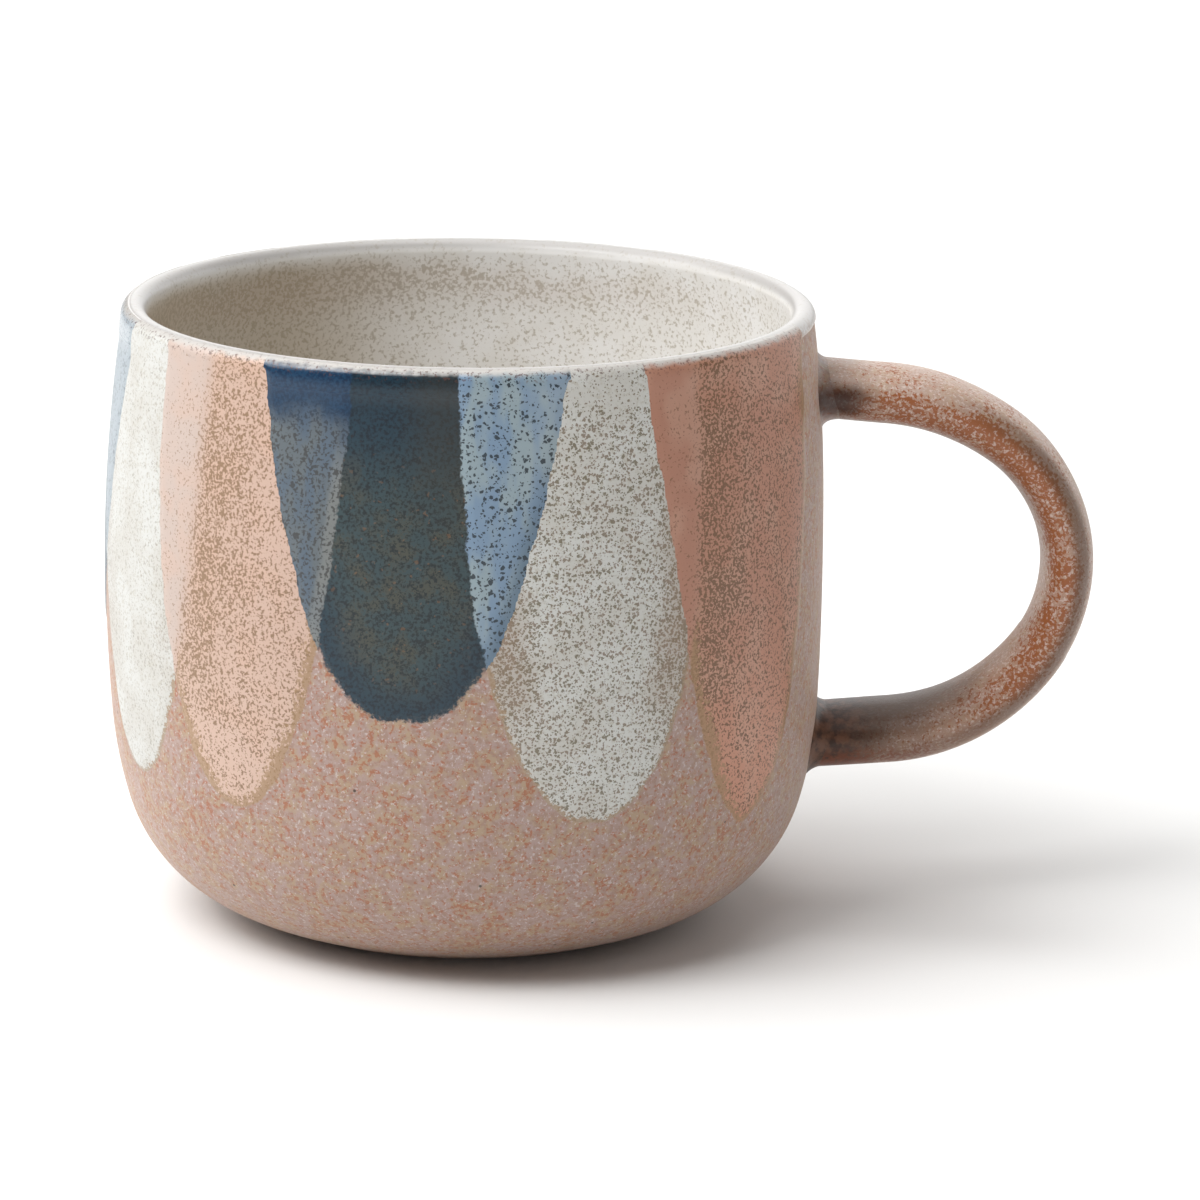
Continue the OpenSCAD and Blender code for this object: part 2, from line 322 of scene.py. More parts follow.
def outline(name):
    """Edge of a stroke as points (mm round the wall from its middle, height)."""
    st = STROKES[name]
    t = np.linspace(0, 1, OUTLINE_POINTS)
    z = st.tip + (HEIGHT + OVERSHOOT - st.tip) * t**2
    u = np.clip((HEIGHT - z) / (HEIGHT - st.tip), 0, 1)
    share = (1 - st.taper * u) * (1 - u**st.fullness) ** (1 / st.roundness)
    right = np.stack([np.radians(st.lean * u + st.half * share) * BODY_R, z], 1)
    left = np.stack([np.radians(st.lean * u - st.half * share) * BODY_R, z], 1)[::-1]
    line = np.concatenate([left[:-1], right])
    step = np.gradient(line, axis=0)
    normal = np.stack([step[:, 1], -step[:, 0]], 1)
    normal /= np.maximum(np.linalg.norm(normal, axis=1, keepdims=True), 1e-9)
    along = np.concatenate([[0], np.cumsum(np.linalg.norm(np.diff(line, axis=0), axis=1))])
    return line + normal * wave(st.seed, along, EDGE_WAVES, EDGE_WANDER)[:, None]


def inside_distance(name, angle, z):
    """Distance in mm inside a stroke's edge over a grid; negative outside it.

    It is worked out at every other grid point and filled in between them.
    """
    widest, lowest, batch = 34.0, 8.0, 3000
    line = outline(name)
    rough_angle, rough_z = angle[::2, ::2], z[::2, ::2]
    away = (rough_angle - STROKES[name].faces + 180) % 360 - 180
    p = np.stack([np.radians(away) * BODY_R, rough_z], -1).reshape(-1, 2)
    near = np.flatnonzero((np.abs(p[:, 0]) < widest) & (p[:, 1] > lowest))
    out = np.full(len(p), FAR_OUTSIDE)
    a, b = line[:-1], line[1:]
    seg = b - a
    length2 = (seg**2).sum(1)
    for pick in np.array_split(near, max(1, len(near) // batch)):
        q = p[pick][:, None, :]
        t = np.clip(((q - a) * seg).sum(-1) / length2, 0, 1)
        d = np.sqrt((((a + t[..., None] * seg) - q) ** 2).sum(-1)).min(1)
        crosses = (a[:, 1] > q[..., 1]) != (b[:, 1] > q[..., 1])
        run = np.where(seg[:, 1] == 0, 1e-9, seg[:, 1])
        right_of = crosses & (q[..., 0] < a[:, 0] + (q[..., 1] - a[:, 1]) / run * seg[:, 0])
        out[pick] = np.where(right_of.sum(1) % 2 == 1, d, -d)
    rough = out.reshape(away.shape)
    full = np.empty(angle.shape)
    full[::2, ::2] = rough
    full[1::2, ::2] = (rough[:-1] + rough[1:]) / 2
    full[:, 1::2] = (full[:, :-1:2] + full[:, 2::2]) / 2
    return full


def smooth_step(x, start, end):
    """Rises smoothly from 0 at start to 1 at end."""
    t = np.clip((x - start) / (end - start), 0, 1)
    return t * t * (3 - 2 * t)


def beneath(name):
    """The strokes that this one can lie over."""
    st = STROKES[name]
    out = []
    for other_name, other in STROKES.items():
        apart = abs((other.faces - st.faces + 180) % 360 - 180)
        if LAYER[other.kind] < LAYER[st.kind] and apart < SIDE_BY_SIDE:
            out.append(other_name)
    return out


def film(edge):
    """Height of a glaze film over its own depth inside the edge."""
    return STROKE_FILM * smooth_step(edge, FILM_START, FILM_FULL)


def stroke_rows(tip):
    """Radii and heights a stroke runs through, from the lip down past its tip, and its lift there."""
    lean = math.degrees(LIP_ANGLE)
    over_lip = arc(LIP_C, LIP_R + LINER, -(lean + LIP_SHARE), -lean, GRID)
    start, end = over_lip[-1, 1] - 0.35, tip - TIP_MARGIN
    down = np.linspace(start, end, int((start - end) / GRID))
    rows = np.concatenate([over_lip, np.stack([wall_radius(down), down], 1)])
    raised = LINER * (1 - smooth_step(start - down, 0, LIP_BLEND))
    lift = np.concatenate([np.zeros(len(over_lip)), raised])
    odd = len(rows) - 1 + len(rows) % 2
    return rows[:odd], lift[:odd, None]


def build_stroke(name):
    """One glaze stroke: a raised film that thins to nothing at its edge."""
    st = STROKES[name]
    reach = st.half + SIDE_MARGIN
    cols = int(2 * np.radians(reach) * BODY_R / GRID) // 2 * 2 + 1
    rows, thick_top = stroke_rows(st.tip)
    angle = np.linspace(st.faces - reach, st.faces + reach, cols)[None, :]
    angle, z = np.broadcast_arrays(angle, rows[:, 1:])
    edge = inside_distance(name, angle, z)
    radius = rows[:, :1] + thick_top * smooth_step(edge, -0.6, 0.5)
    under = {kind: np.full(angle.shape, FAR_OUTSIDE) for kind in ("white", "pink")}
    lift = np.zeros(angle.shape)
    for other in beneath(name):
        d = inside_distance(other, angle, z)
        kind = STROKES[other].kind
        under[kind] = np.maximum(under[kind], d)
        lift = lift + film(d)
    ease = smooth_step(np.arange(len(rows)), 0, 6)[:, None]
    raised = (lift + film(edge)) * (0.25 + 0.75 * ease) - SINK * (edge < FILM_START)
    slant = np.gradient(rows + thick_top * [1, 0], axis=0)
    slant /= np.linalg.norm(slant, axis=1, keepdims=True)
    across, upwards = -slant[:, 1:], slant[:, :1]
    top = placed(angle, radius + raised * across, z + raised * upwards)
    bottom = placed(angle, radius - BURIED * across, z - BURIED * upwards)
    n = angle.size
    quads = grid_faces(*angle.shape)
    quads = quads[(edge > -SKIRT).ravel()[quads].all(1)]
    edges = np.concatenate([quads[:, [i, (i + 1) % 4]] for i in range(4)])
    code = edges.min(1).astype(np.int64) * n + edges.max(1)
    _, index, count = np.unique(code, return_index=True, return_counts=True)
    rim = edges[index[count == 1]]
    sides = np.stack([rim[:, 1], rim[:, 0], rim[:, 0] + n, rim[:, 1] + n], 1)
    faces_all = np.concatenate([quads, quads[:, ::-1] + n, sides])
    used = np.unique(faces_all)
    renumber = np.zeros(2 * n, np.int64)
    renumber[used] = np.arange(len(used))
    points = np.concatenate([top.reshape(-1, 3), bottom.reshape(-1, 3)])[used]
    values = {"edge": edge, "on_white": under["white"], "on_pink": under["pink"]}
    fields = {key: np.tile(v.ravel(), 2)[used] for key, v in values.items()}
    fields["depth"] = np.full(len(used), st.depth)
    return make_mesh("mug_" + name, points, [renumber[faces_all]], fields)


# ---------------- handle
HANDLE_THICK, HANDLE_WIDE, HANDLE_SWELL = 6.6, 12.8, 1.2
HANDLE_START = np.array([44.0, 67.9])
HANDLE_TILT, HANDLE_ARM = 4.3, 8.8
HANDLE_BENDS = ((30.0, 31.5), (20.3, 91.3), (25.0, 48.8))
HANDLE_END_X = 42.6  # the centre line ends inside the wall
HANDLE_STEP, HANDLE_AROUND = 0.35, 72
LOWER_ARM = -120.0  # past this heading the lower arm begins
UPPER_SWELL = 0.55  # the upper arm swells by this share of the lower one's
OVAL_SQUARE = 0.92  # under 1 makes the oval a little squarer


def direction(heading):
    """Unit vector (x, z) along a heading in degrees."""
    return np.array([math.cos(rad(heading)), math.sin(rad(heading))])


def bend_point(p, radius, start, heading):
    """Where a bend that leaves p at one heading has turned clockwise to another."""
    return p + radius * np.array([math.sin(rad(start)) - math.sin(rad(heading)),
                                  math.cos(rad(heading)) - math.cos(rad(start))])


def handle_path():
    """Centre line of the handle: points (x, z) and headings in degrees."""
    points, headings, step = [], [], HANDLE_STEP
    p, h = HANDLE_START.copy(), -HANDLE_TILT
    for t in np.arange(0, HANDLE_ARM, step):
        points.append(p + t * direction(h))
        headings.append(h)
    p = p + HANDLE_ARM * direction(h)
    for radius, turned in HANDLE_BENDS:
        n = int(rad(turned) * radius / step)
        for i in range(n):
            headings.append(h - turned * i / n)
            points.append(bend_point(p, radius, h, headings[-1]))
        p = bend_point(p, radius, h, h - turned)
        h -= turned
    t = 0.0
    while (p + t * direction(h))[0] > HANDLE_END_X:
        points.append(p + t * direction(h))
        headings.append(h)
        t += step
    return np.array(points), np.array(headings)


def oval(a, thick, wide):
    """Flattened oval: offsets across the thickness and across the width."""
    c, s = np.cos(a), np.sin(a)
    return (thick / 2 * np.sign(c) * np.abs(c) ** OVAL_SQUARE,
            wide / 2 * np.sign(s) * np.abs(s) ** OVAL_SQUARE)


def handle_sizes(heading):
    """Thickness and width of the handle where it runs at these headings."""
    level = np.cos(np.radians(heading)) ** 2
    swell = 1 + (HANDLE_SWELL - 1) * level * np.where(heading < LOWER_ARM, 1.0, UPPER_SWELL)
    return HANDLE_THICK * swell, HANDLE_WIDE * (1 + 0.03 * level)


def build_handle():
    """The handle as a smooth sweep, both ends inside the wall."""
    path, heading = handle_path()
    m = HANDLE_AROUND
    a = np.arange(m) * 2 * math.pi / m
    thick, wide = handle_sizes(heading)
    along = np.arange(len(path)) * HANDLE_STEP
    n, w = oval(a[None, :], thick[:, None], wide[:, None])
    lump = (wave(51, along, (41.0, 23.0, 14.0), 0.07)[:, None] * np.cos(a - 0.6)
            + wave(52, along, (37.0, 19.0), 0.05)[:, None] * np.sin(2 * a))
    n, w = n * (1 + lump / thick[:, None]), w * (1 + lump / wide[:, None])
    h = np.radians(heading)[:, None]
    points = np.stack([path[:, :1] - n * np.sin(h), w, path[:, 1:] + n * np.cos(h)], -1)
    rows = len(path)
    centres = np.array([[path[0, 0], 0, path[0, 1]], [path[-1, 0], 0, path[-1, 1]]])
    run = np.concatenate([np.repeat(along, m), [0, along[-1]]])
    out = np.concatenate([np.tile(np.cos(a), rows), [0, 0]])
    points = np.concatenate([points.reshape(-1, 3), centres])
    return make_mesh("mug_handle", points, tube_faces(rows, m), {"run": run, "outer": out})


SLIP_SPREAD, SLIP_REACH, SLIP_WANDER = 1.5, 2.3, 0.12  # along the wall, along the handle
SLIP_BURIED, SLIP_SUNK, SLIP_HOLLOW = 0.12, 0.1, 0.85
SLIP_AROUND, SLIP_STEPS = 120, 12


def build_slip(name, at_z, slope, thick, wide, seed):
    """Slip round one end of the handle: a small hollow curve onto the wall."""
    m, steps = SLIP_AROUND, SLIP_STEPS
    a = np.arange(m) * 2 * math.pi / m
    n, w = oval(a, thick, wide)
    uneven = 1 + wave(seed, np.degrees(a) / 10, (36.0, 18.0, 12.0), SLIP_WANDER)
    spread, reach = SLIP_SPREAD * uneven, SLIP_REACH * uneven
    size = np.hypot(n, w)
    grow = 1 + spread / size

    def x_at(y, z):
        """How far out the wall is at this place beside the handle."""
        angle = 90 + np.degrees(np.arcsin(y / BODY_R))
        return np.sqrt(np.maximum((wall_radius(z) + hand(angle, z)) ** 2 - y**2, 0))

    corner = np.stack([x_at(w, at_z + n), w, at_z + n], 1)
    foot_x = x_at(w * grow, at_z + n * grow) - SLIP_BURIED
    foot = np.stack([foot_x, w * grow, at_z + n * grow], 1)
    inset = 1 - SLIP_SUNK / size
    tip = np.stack([corner[:, 0] + reach, w * inset, at_z + n * inset + slope * reach], 1)
    rows = [foot]
    for t in np.linspace(0, 1, steps)[1:]:
        pull = SLIP_HOLLOW * corner + (1 - SLIP_HOLLOW) * (foot + tip) / 2
        rows.append((1 - t) ** 2 * foot + 2 * t * (1 - t) * pull + t * t * tip)
    core = np.stack([corner[:, 0] - 0.5, w * 0.8, at_z + n * 0.8], 1)
    rows.append(core)
    points = np.array(rows)
    k = len(rows)
    quads = grid_faces(k, m, wrap=True)
    j = np.arange(m)
    close = np.stack([(k - 1) * m + j, (k - 1) * m + (j + 1) % m, (j + 1) % m, j], 1)
    return make_mesh(name, points.reshape(-1, 3), [quads, close])


# ---------------- materials
def srgb(r, g, b):
    """An on-screen colour, 0 to 255, as the linear colour a shader takes."""
    lin = [(c / 255 / 12.92) if c <= 10 else ((c / 255 + 0.055) / 1.055) ** 2.4 for c in (r, g, b)]
    return (*lin, 1.0)


class Shader:
    """Small helper for laying out a node material."""

    def __init__(self, name):
        self.material = bpy.data.materials.new(name)
        self.material.use_nodes = True
        self.tree = self.material.node_tree
        self.tree.nodes.clear()
        surface = self.tree.nodes.new("ShaderNodeOutputMaterial").inputs[0]
        self.bsdf = self.tree.nodes.new("ShaderNodeBsdfPrincipled")
        self.tree.links.new(self.bsdf.outputs[0], surface)
        self.place = self.tree.nodes.new("ShaderNodeTexCoord").outputs["Object"]

    def node(self, kind, **settings):
        n = self.tree.nodes.new(kind)
        for k, v in settings.items():
            setattr(n, k, v)
        return n

    def feed(self, socket, value):
        if hasattr(value, "is_linked"):
            self.tree.links.new(value, socket)
        else:
            socket.default_value = value

    def math(self, operation, a, b=0.0, c=None, clamp=False):
        n = self.node("ShaderNodeMath", operation=operation, use_clamp=clamp)
        self.feed(n.inputs[0], a)
        self.feed(n.inputs[1], b)
        if c is not None:
            self.feed(n.inputs[2], c)
        return n.outputs[0]

    def times(self, a, b, clamp=False):
        return self.math("MULTIPLY", a, b, clamp=clamp)

    def scaled(self, value, by, plus):
        """value * by + plus"""
        return self.math("MULTIPLY_ADD", value, by, plus)

    def rest(self, share):
        """What a share leaves over of 1."""
        return self.math("SUBTRACT", 1.0, share)

    def mix(self, factor, a, b):
        """Colour a, turning to colour b as the factor goes from 0 to 1."""
        n = self.node("ShaderNodeMix", data_type="RGBA", clamp_factor=True)
        self.feed(n.inputs[0], factor)
        self.feed(n.inputs[6], a)
        self.feed(n.inputs[7], b)
        return n.outputs[2]

    def blend(self, factor, a, b):
        """As mix, for plain numbers."""
        n = self.node("ShaderNodeMix", data_type="FLOAT", clamp_factor=True)
        self.feed(n.inputs[0], factor)
        self.feed(n.inputs[2], a)
        self.feed(n.inputs[3], b)
        return n.outputs[0]

    def step(self, value, start, end):
        """Rises smoothly from 0 at start to 1 at end, which may be the lower of the two."""
        n = self.node("ShaderNodeMapRange", interpolation_type="SMOOTHSTEP")
        self.feed(n.inputs[0], value)
        self.feed(n.inputs[1], start)
        self.feed(n.inputs[2], end)
        return n.outputs[0]

    def moved(self, offset, stretch=(1, 1, 1)):
        """Object coordinates shifted and stretched, so that patterns differ."""
        n = self.node("ShaderNodeMapping")
        self.feed(n.inputs[0], self.place)
        n.inputs[1].default_value = offset
        n.inputs[3].default_value = stretch
        return n.outputs[0]

    def texture(self, kind, place, size_mm, **inputs):
        """Outputs of a 3D texture with features of about this size."""
        n = self.node(kind)
        self.feed(n.inputs["Vector"], place)
        n.inputs["Scale"].default_value = 1 / (size_mm * MM)
        for key, value in inputs.items():
            n.inputs[key].default_value = value
        return n.outputs

    def noise(self, size_mm, detail=2.0, rough=0.5, seed=0.0, stretch=(1, 1, 1), warp=0.0):
        """Noise with features of about this size, 0 to 1 round 0.5."""
        place = self.moved((seed, seed * 0.7, -seed), stretch)
        return self.texture("ShaderNodeTexNoise", place, size_mm,
                            Detail=detail, Roughness=rough, Distortion=warp)[0]

    def swing(self, size_mm, detail=2.0, rough=0.5, **settings):
        """The same noise, round zero."""
        return self.math("SUBTRACT", self.noise(size_mm, detail, rough, **settings), 0.5)

    def scatter(self, place, size_mm):
        """Distance from scattered centres, and a random number for each of them."""
        found = self.texture("ShaderNodeTexVoronoi", place, size_mm)
        split = self.node("ShaderNodeSeparateColor")
        self.feed(split.inputs[0], found["Color"])
        return found["Distance"], split.outputs[0]

    def dots(self, size_mm, radius, chance, seed=0.0):
        """Scattered round dots: 1 inside a dot. chance is the share of cells with one."""
        distance, lot = self.scatter(self.moved((seed, -seed, seed * 0.5)), size_mm)
        near = self.step(distance, radius, radius * 0.6)
        return self.times(near, self.math("LESS_THAN", lot, chance))

    def shaken(self, size_mm, reach_mm, seed):
        """Object coordinates pushed about by noise, which bends round dots."""
        place = self.moved((seed, seed * 0.7, -seed))
        push = self.node("ShaderNodeVectorMath", operation="MULTIPLY_ADD")
        shake = self.texture("ShaderNodeTexNoise", place, size_mm, Detail=1.0)
        self.feed(push.inputs[0], shake["Color"])
        push.inputs[1].default_value = (2 * reach_mm * MM,) * 3
        self.feed(push.inputs[2], self.moved((-seed, seed, seed * 0.5)))
        return push.outputs[0]

    def cells(self, size_mm, seed=0.0):
        """Distance from scattered centres, each with its own reach, in cell sizes."""
        place = self.shaken(size_mm * 0.8, size_mm * 0.55, seed)
        distance, lot = self.scatter(place, size_mm)
        return self.math("ADD", distance, self.times(self.math("SUBTRACT", lot, 0.5), 0.3))

    def axes(self):
        """Object coordinates as three numbers."""
        split = self.node("ShaderNodeSeparateXYZ")
        self.feed(split.inputs[0], self.place)
        return split.outputs

    def near(self, value, centre, start, end):
        """Rises smoothly from 0 to 1 as the value's distance from a centre goes from start to end."""
        away = self.math("ABSOLUTE", self.math("SUBTRACT", value, centre))
        return self.step(away, start, end)

    def less(self, value, limit):
        """1 where the value is under the limit, with a slightly soft edge."""
        return self.step(self.math("SUBTRACT", limit, value), -0.05, 0.05)

    def field(self, name):
        """A number that the mesh carries at each point."""
        return self.node("ShaderNodeAttribute", attribute_name=name).outputs["Fac"]

    def bump(self, height, distance_mm, strength=1.0, normal=None):
        n = self.node("ShaderNodeBump")
        n.inputs["Strength"].default_value = strength
        n.inputs["Distance"].default_value = distance_mm * MM
        self.feed(n.inputs["Height"], height)
        if normal is not None:
            self.feed(n.inputs["Normal"], normal)
        return n.outputs[0]

    def finish(self, colour, roughness, specular=0.5, normal=None):
        """Joins up the surface and gives back the material."""
        self.feed(self.bsdf.inputs["Base Color"], colour)
        self.feed(self.bsdf.inputs["Roughness"], roughness)
        self.bsdf.inputs["Specular IOR Level"].default_value = specular
        if normal is not None:
            self.feed(self.bsdf.inputs["Normal"], normal)
        return self.material


# bare clay
CLAY_MAUVE = srgb(167, 144, 136)
CLAY_BUFF = srgb(169, 146, 122)
CLAY_BROWN = srgb(155, 126, 113)
CLAY_RUST = srgb(160, 97, 68)
CLAY_GRAIN = srgb(196, 185, 182)
CLAY_SPECK = srgb(51, 48, 42)


def clay_colour(s):
    """Pinkish clay with rust flecks, pale grains and a few dark specks."""
    big = s.swing(12.0, seed=0.31)
    mid = s.swing(2.6, 3.0, 0.6, seed=0.17)
    fine = s.noise(0.6, 3.0, 0.65, seed=0.53, warp=0.3)
    colour = s.mix(s.step(mid, -0.08, 0.10), CLAY_MAUVE, CLAY_BUFF)
    grey = s.step(s.noise(0.8, 2.0, 0.6, seed=0.27), 0.46, 0.62)
    colour = s.mix(s.times(grey, 0.8), colour, CLAY_BROWN)
    crowd = s.scaled(big, 0.12, s.scaled(mid, 0.22, fine))
    colour = s.mix(s.times(s.step(crowd, 0.52, 0.63), 0.8), colour, CLAY_RUST)
    pale = s.scaled(mid, -0.12, s.noise(0.4, 2.0, 0.6, seed=0.93))
    colour = s.mix(s.times(s.step(pale, 0.585, 0.67), 0.7), colour, CLAY_GRAIN)
    dark = s.dots(5.0, 0.05, 0.5, seed=0.41)
    return s.mix(s.times(dark, 0.85), colour, CLAY_SPECK)


# clay of the handle, from its palest to its darkest; the colours for the front's dark stripe, the
# upper arm's underside and the body's shadow are painted shade, the root colours partly so
HANDLE_PALE = srgb(192, 168, 150)
HANDLE_BLOOM = srgb(214, 196, 188)
HANDLE_BROWN = srgb(160, 112, 84)
HANDLE_RUST = srgb(146, 80, 36)
HANDLE_WARM = srgb(122, 66, 42)
HANDLE_UNDERSIDE_SHADE = srgb(112, 76, 54)
HANDLE_CREASE_SHADE = srgb(94, 66, 48)
HANDLE_BODY_SHADOW = srgb(70, 49, 34)
ROOT_BROWN = srgb(108, 72, 52)
ROOT_DARK = srgb(58, 34, 22)
CORE_BROWN = srgb(44, 20, 12)


def handle_stain_and_shade(s, colour):
    """Rust staining down the sides of the handle, broken by pale stipple, with painted shade along its
    front, under its upper arm and over its roots.
    """
    outer, run = s.field("outer"), s.field("run")
    colour = s.mix(0.5, colour, HANDLE_PALE)
    patch = tone(s, 6.0, 0.71)
    middle = s.near(outer, -0.22, 0.74, 0.36)
    early = s.step(run, 72.0, 56.0)
    net = s.noise(0.5, 3.0, 0.62, seed=0.37, warp=0.4)
    wet = s.scaled(middle, 0.15, s.scaled(patch, 0.36, net))
    wet = s.scaled(early, 0.11, wet)
    colour = s.mix(s.times(middle, 0.38), colour, HANDLE_BROWN)
    colour = s.mix(s.times(s.step(wet, 0.68, 0.75), 0.9), colour, HANDLE_RUST)
    bloom = s.step(s.noise(0.4, 2.0, 0.5, seed=0.13), 0.56, 0.64)
    colour = s.mix(s.times(bloom, 0.55), colour, HANDLE_BLOOM)
    # painted shade: a dark stripe along the handle's front, between its lit outer band and its middle
    crease_shade = s.times(s.step(outer, -0.1, 0.35), s.step(outer, 0.86, 0.58))
    crease_shade = s.times(crease_shade, s.times(s.step(run, 12.0, 30.0), s.step(run, 84.0, 66.0)))
    colour = s.mix(s.times(crease_shade, 0.68), colour, HANDLE_CREASE_SHADE)
    # painted shade: the inner side of the upper arm and bend, facing down, is darkened as if little
    # light reached it from below
    under = s.times(s.step(outer, -0.55, -0.9), s.step(run, 46.0, 28.0))
    colour = s.mix(s.times(under, 0.5), colour, HANDLE_UNDERSIDE_SHADE)
    # painted shadow: the mug body's shadow over the upper side of the lower arm near its root
    shade = s.scaled(outer, -9.0, s.scaled(patch, 12.0, run))
    shade = s.times(s.step(shade, 64.0, 86.0), s.step(outer, 1.0, 0.5))
    colour = s.mix(s.times(shade, 0.88), colour, HANDLE_BODY_SHADOW)
    warm = s.times(s.step(outer, -0.05, 0.45), s.step(run, 62.0, 78.0))
    warm = s.times(warm, s.step(s.scaled(patch, 0.4, net), 0.36, 0.56))
    # the roots' dark share: fired staining, with painted shade over the upper root's top and painted
    # shadow of the body over the lower root
    start = s.step(s.scaled(patch, 7.0, run), 8.5, 2.5)
    core = s.near(outer, -0.1, 0.9, 0.2)
    start = s.times(start, s.scaled(core, 0.35, 0.3))
    colour = root_stain_and_shadow(s, colour, s.math("MAXIMUM", start, s.step(run, 79.0, 86.0)))
    near = s.step(s.scaled(patch, 4.0, run), 6.6, 3.4)
    core = s.times(s.times(core, core), near)
    colour = s.mix(s.times(core, 0.8), colour, CORE_BROWN)
    return s.mix(s.times(warm, 0.7), colour, HANDLE_WARM)


def root_stain_and_shadow(s, colour, share):
    """Where the handle meets the wall: a mottled dark brown, partly the clay's own fired colour and
    partly painted shadow of the body over the roots.
    """
    blot = s.step(s.noise(1.6, 3.0, 0.6, seed=0.29), 0.36, 0.60)
    brown = s.mix(blot, ROOT_BROWN, ROOT_DARK)
    return s.mix(s.times(share, 0.85), colour, brown)


def joint_stain_and_shadow(s, colour):
    """Lighter at the upper joint but for a dark core, and dark at the lower one, whose darkness is
    painted shadow of the body as well as the root's own colour.
    """
    drop = drop_field(s)
    # painted shadow of the body over the lower joint
    lower = s.step(drop, 30.0, 50.0)
    colour = s.mix(s.times(lower, 0.8), colour, HANDLE_BODY_SHADOW)
    colour = root_stain_and_shadow(s, colour, s.blend(lower, 0.5, 1.0))
    core = s.near(drop, HEIGHT - HANDLE_START[1] + 0.6, 2.8, 0.6)
    return s.mix(s.times(core, 0.75), colour, CORE_BROWN)


# rough grain scatters light most at the outline of the bare clay
CLAY_SHEEN, SHEEN_TINT = 0.25, srgb(255, 232, 216)


def stoneware(name="stoneware", stain_and_shade=None):
    """Unglazed clay, plain or with the staining and painted shade of one of its parts."""
    s = Shader(name)
    s.bsdf.inputs["Sheen Weight"].default_value = 0.0 if stain_and_shade else CLAY_SHEEN
    s.bsdf.inputs["Sheen Tint"].default_value = SHEEN_TINT
    colour = clay_colour(s)
    if stain_and_shade:
        colour = stain_and_shade(s, colour)
    grain = s.noise(0.4, 3.0, 0.65, seed=0.07)
    lumps = s.noise(2.6, 2.0, 0.5, seed=0.67)
    normal = s.bump(lumps, 0.10, 0.4, s.bump(grain, 0.06, 0.8))
    return s.finish(colour, 0.42 if stain_and_shade else 0.58, 0.4, normal)


def drop_field(s):
    """Distance in mm below the top of the lip."""
    return s.scaled(s.axes()[2], -1 / MM, HEIGHT)


def specks(s, size, seed):
    """Speck field, lower inside a speck. Compare it with a radius to draw them."""
    ragged = s.swing(size * 0.5, 2.0, 0.6, seed=seed + 0.37)
    return s.scaled(ragged, 0.5, s.cells(size, seed))


def tone(s, size, seed):
    """Slow variation round zero."""
    return s.swing(size, seed=seed)


# lip
LIP_WHITE = srgb(186, 182, 177)
LIP_SPECK = srgb(110, 75, 64)
LIP_LINE = srgb(86, 59, 52)


def lip_fade(s, colour, drop):
    """The stroke colour starts softly below a pale, brown-speckled lip."""
    soft = s.scaled(tone(s, 1.2, 0.51), 0.8, drop)
    speck = s.step(s.noise(0.42, 2.0, 0.6, seed=0.33), 0.57, 0.64)
    crowd = s.times(s.step(drop, 0.1, 0.6), s.step(drop, 1.9, 1.0))
    speck = s.times(speck, s.scaled(crowd, 0.45, 0.2))
    lip = s.mix(speck, LIP_WHITE, LIP_SPECK)
    colour = s.mix(s.step(soft, 0.15, 0.95), lip, colour)
    rim_line = s.times(speck, s.step(drop, 2.2, 1.0))
    return s.mix(rim_line, colour, LIP_LINE)


def stroke_edge(s, colour, ring, ring_colour, ring_share, feather):
    """Ring of thin olive glaze, then a stippled edge, where a stroke meets the clay."""
    edge = s.field("edge")
    over = s.math("MAXIMUM", s.field("on_white"), s.field("on_pink"))
    bare = s.step(over, 0.3, -0.5)
    fine = s.swing(0.5, 2.0, 0.65, seed=0.47)
    wander = s.scaled(tone(s, 7.0, 0.59), 3.0, s.times(fine, 6.0))
    thin = s.step(s.math("ADD", s.math("DIVIDE", edge, ring), wander), 1.5, 0.8)
    thin = s.times(s.times(thin, bare), ring_share)
    colour = s.mix(thin, colour, ring_colour)
    stipple = s.scaled(fine, feather * 3.5, edge)
    gone = s.times(s.step(stipple, feather, -feather * 0.3), bare)
    return s.mix(gone, colour, clay_colour(s))


# white glaze
WHITE_COOL = srgb(201, 201, 197)
WHITE_WARM = srgb(194, 192, 186)
WHITE_CLOUD = srgb(184, 180, 170)
WHITE_OLIVE_INK = srgb(96, 83, 52)
WHITE_BROWN_INK = srgb(116, 96, 74)
WHITE_SIDE = srgb(142, 112, 86)
WHITE_EDGE = srgb(151, 125, 96)


